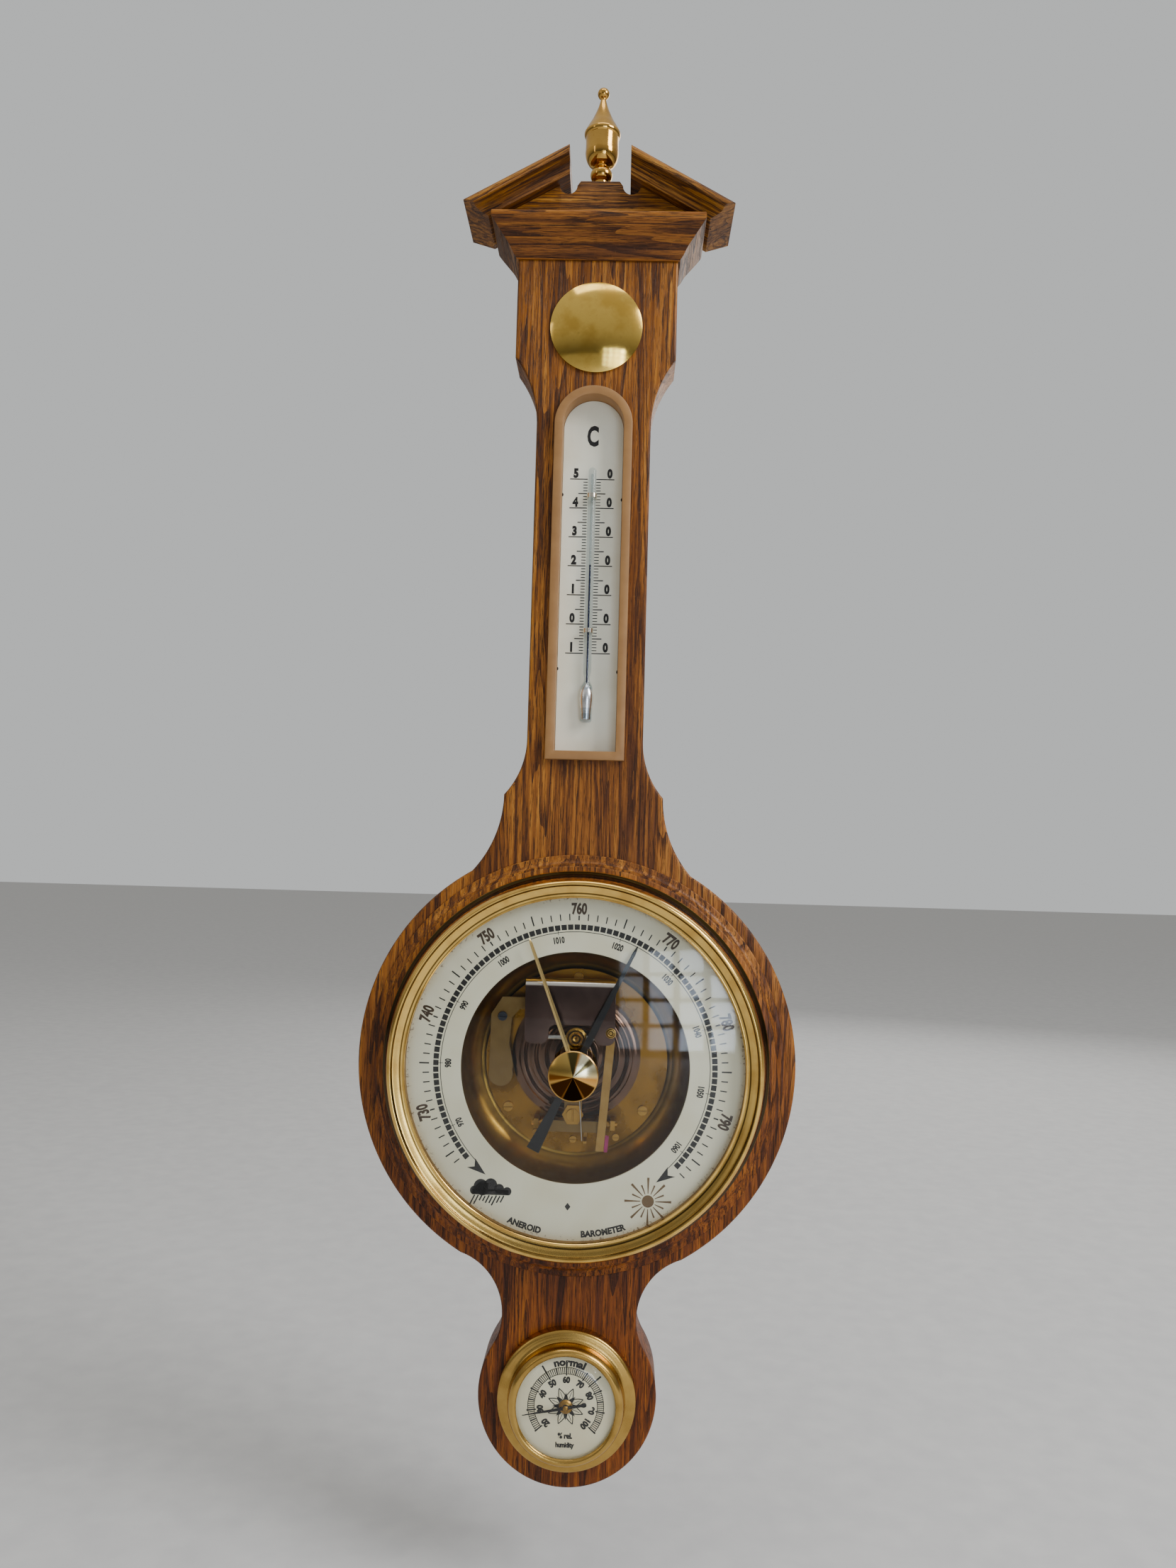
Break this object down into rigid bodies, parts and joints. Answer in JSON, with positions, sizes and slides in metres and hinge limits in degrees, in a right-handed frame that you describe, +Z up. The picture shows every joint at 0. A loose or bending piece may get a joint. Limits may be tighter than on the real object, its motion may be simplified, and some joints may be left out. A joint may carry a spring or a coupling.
{
  "type": "wall weather station",
  "caption": "Banjo-shaped oak wall weather station with aneroid barometer, tube thermometer and coil hygrometer under a broken pediment with a brass finial.",
  "frame": {"origin": "centre of the keyhole's round hole, on the back of the case (the wall plane)", "axes": "+Z up, +Y into the wall, so the dials face -Y; +X to the viewer's right"},
  "size_m": [0.2, 0.0624, 0.6592],
  "materials": {
    "oak": "open-grained, satin oiled",
    "beech": "raw",
    "polished_brass": "polished and lacquered",
    "hand_brass": "satin",
    "satin_brass": "brushed",
    "steel": "bright rolled",
    "capsule_metal": "rolled, slightly tarnished",
    "black_paint": "semi-matt",
    "dial_white": "matt printed",
    "glass": "clear",
    "frame_plastic": "matt moulded",
    "fibreboard": "pressed board",
    "bimetal": "rolled strip",
    "liquid_silver": "liquid metal",
    "liquid_blue": "coloured liquid"
  },
  "bodies": {
    "case": {"case_board": "oak", "dial_ring": "oak", "tympanum": "oak", "rake_moulding_left": "oak", "rake_moulding_right": "oak", "cornice_front": "oak", "cornice_return_left": "oak", "cornice_return_right": "oak", "tympanum_dowels": "beech", "finial": "polished_brass", "boss_dome": "polished_brass", "barometer_bezel": "polished_brass", "hygrometer_bezel": "polished_brass", "glass_bush": "polished_brass", "barometer_pan": "satin_brass", "base_plate": "satin_brass", "spring_bracket": "satin_brass", "bridge_cock": "satin_brass", "lock_nut": "satin_brass", "rocker_stands": "satin_brass", "movement_pillars": "satin_brass", "movement_screws": "satin_brass", "glass_spacer": "satin_brass", "pan_lugs": "satin_brass", "pull_chain": "steel", "hairspring": "steel", "hanger_plate": "steel", "wood_screws": "steel", "boss_pin": "steel", "bracket_screw": "steel", "tube_clips": "steel", "hygrometer_bridge": "steel", "hygrometer_can": "steel", "aneroid_capsule": "capsule_metal", "dial_plate": "dial_white", "thermometer_plate": "dial_white", "hygrometer_dial": "dial_white", "barometer_glass": "glass", "thermometer_tube": "glass", "hygrometer_glass": "glass", "thermometer_frame": "frame_plastic", "back_cover": "fibreboard", "humidity_coil": "bimetal", "mercury_reservoir": "liquid_silver"},
    "set_hand_unit": {"set_hand": "hand_brass", "set_spindle": "polished_brass", "set_knob": "polished_brass"},
    "pressure_pointer_unit": {"pressure_pointer": "black_paint", "pointer_arbor": "satin_brass"},
    "spring_unit": {"leaf_spring": "steel", "spring_hub": "satin_brass", "knife_edge_pin": "steel", "long_lever": "satin_brass", "lever_rivet": "satin_brass"},
    "rocker": {"rocker_arbor": "steel"},
    "adjusting_screw": {"calibration_screw": "satin_brass"},
    "hygrometer_unit": {"hygrometer_pointer": "black_paint", "hygrometer_arbor": "satin_brass"},
    "mercury_column": {"mercury_meniscus": "liquid_blue", "mercury_thread": "liquid_blue"}
  },
  "joints": [
    {"name": "set_hand_turn", "type": "hinge", "parent": "case", "child": "set_hand_unit", "pos_m": [0, -0.05, -0.35], "axis": [0, 1, 0], "continuous": true},
    {"name": "pressure_pointer_turn", "type": "hinge", "parent": "case", "child": "pressure_pointer_unit", "pos_m": [0, -0.04, -0.35], "axis": [0, 1, 0], "range_deg": [-154, 108], "stiffness_Nm_per_rad": 0.004},
    {"name": "spring_flex", "type": "hinge", "parent": "case", "child": "spring_unit", "pos_m": [0, -0.03, -0.3154], "axis": [1, 0, 0], "range_deg": [-1.1, 0.8]},
    {"name": "rocker_turn", "type": "hinge", "parent": "case", "child": "rocker", "pos_m": [0, -0.025, -0.3775], "axis": [1, 0, 0], "range_deg": [-10, 7]},
    {"name": "adjusting_screw_turn", "type": "hinge", "parent": "case", "child": "adjusting_screw", "pos_m": [-0.0007, -0.031, -0.3722], "axis": [0, 1, 0], "range_deg": [-180, 180]},
    {"name": "hygrometer_turn", "type": "hinge", "parent": "case", "child": "hygrometer_unit", "pos_m": [0, -0.038, -0.4978], "axis": [0, 1, 0], "range_deg": [-29, 231], "stiffness_Nm_per_rad": 0.0005},
    {"name": "mercury_rise", "type": "slide", "parent": "case", "child": "mercury_column", "axis": [0, 0, 1], "range_m": [-0.0418, 0.0418], "deforming": ["mercury_thread"]}
  ],
  "couplings": [
    {"joint": "spring_flex", "follows": "pressure_pointer_turn", "ratio": 0.0067},
    {"joint": "rocker_turn", "follows": "pressure_pointer_turn", "ratio": 0.062}
  ]
}
